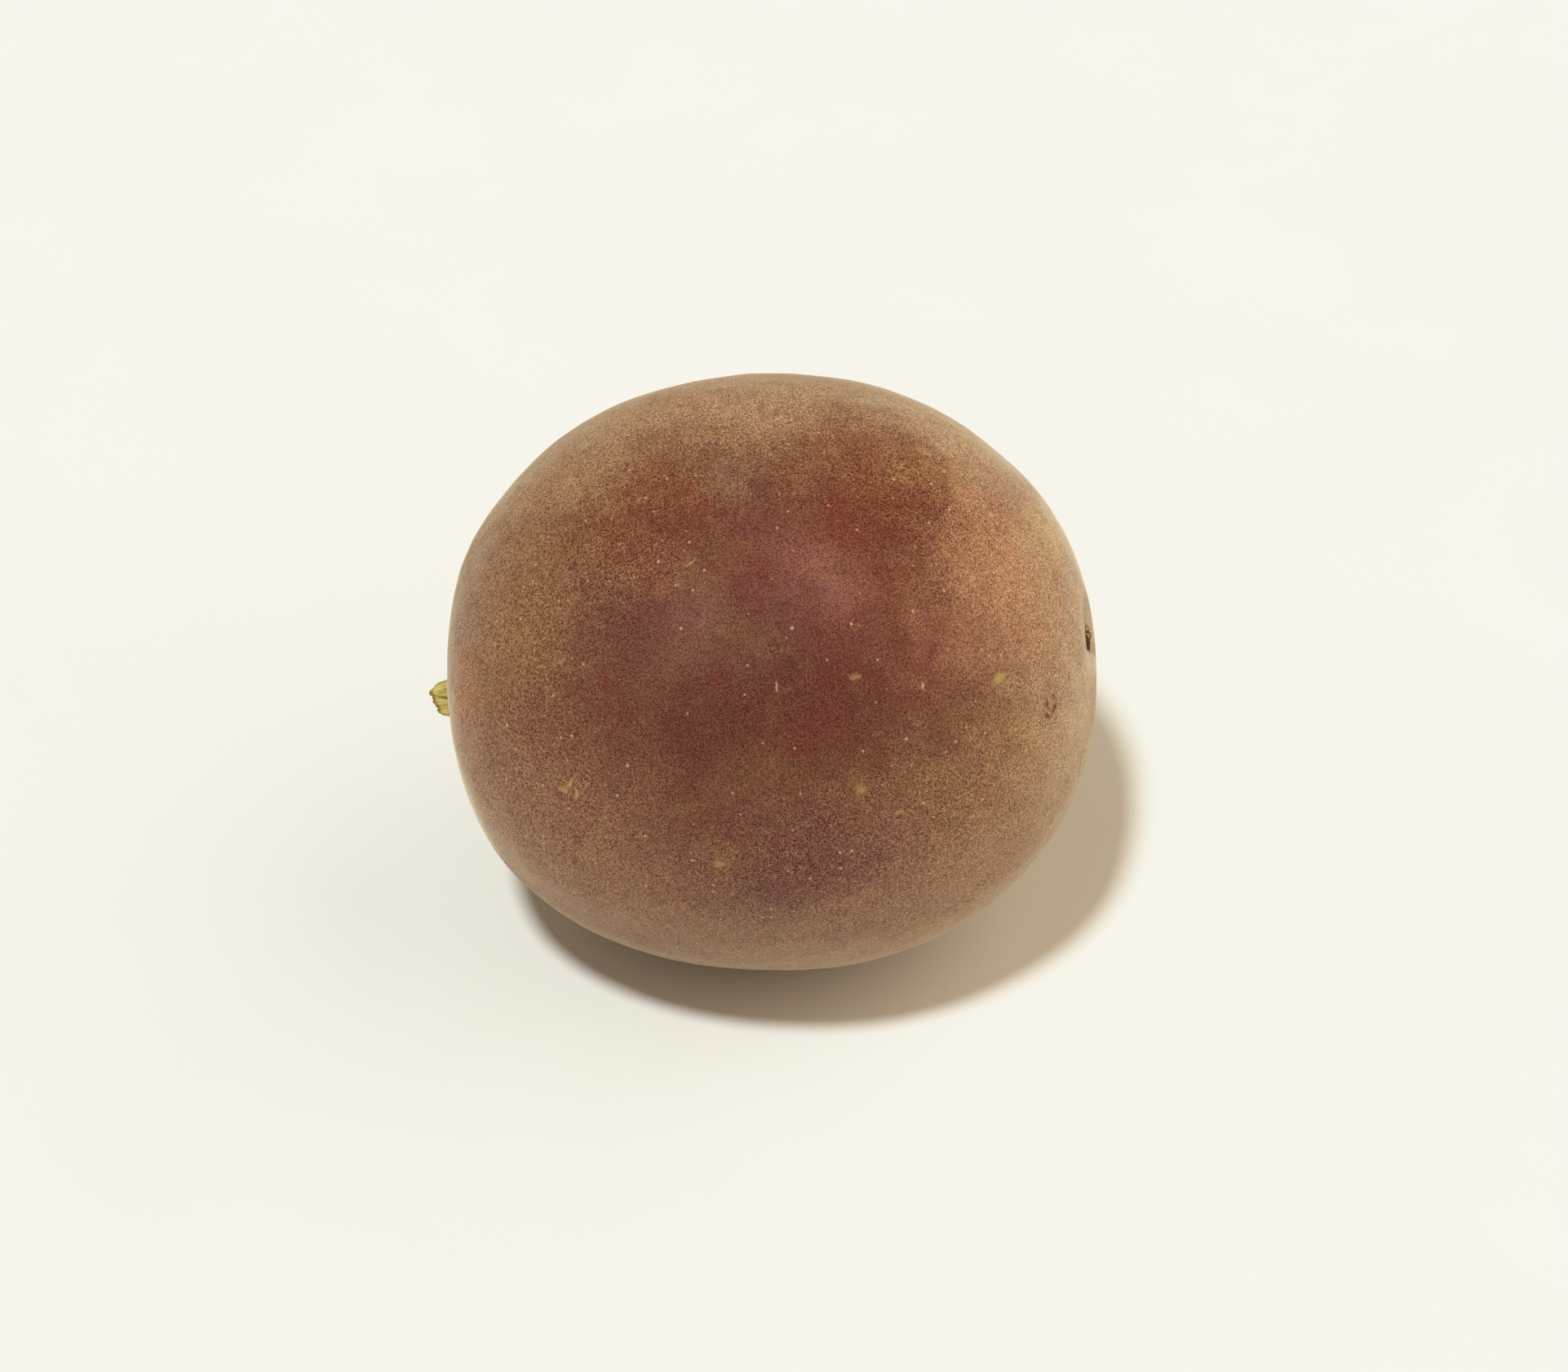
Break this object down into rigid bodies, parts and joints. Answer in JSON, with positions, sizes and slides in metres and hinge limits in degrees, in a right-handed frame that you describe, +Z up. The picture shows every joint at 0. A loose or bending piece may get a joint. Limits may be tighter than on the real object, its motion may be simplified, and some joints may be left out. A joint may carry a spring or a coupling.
{
  "type": "passion fruit",
  "caption": "Whole ripe passion fruit lying on its side on a small flat spot, with a torn stalk stub at one end and a dried style remnant at the other.",
  "frame": {"origin": "under the middle of the whole fruit's box, on the surface it rests on", "axes": "+Z up, +X along the fruit's length from the stem end to the blossom end, +Y across it"},
  "size_m": [0.0608, 0.0528, 0.0534],
  "materials": {
    "skin": "matt mottled red-brown rind with purple, rust and tan blotches, fine pale flecks and a faint dusty bloom",
    "stalk": "dry fibrous yellow-olive stalk, torn and browned at the end",
    "dry_remnant": "dry matt olive-tan scar tissue with a dark slit"
  },
  "bodies": {
    "root": {"fruit": "skin", "stalk_stub": "stalk", "style_remnant": "dry_remnant"}
  },
  "joints": []
}
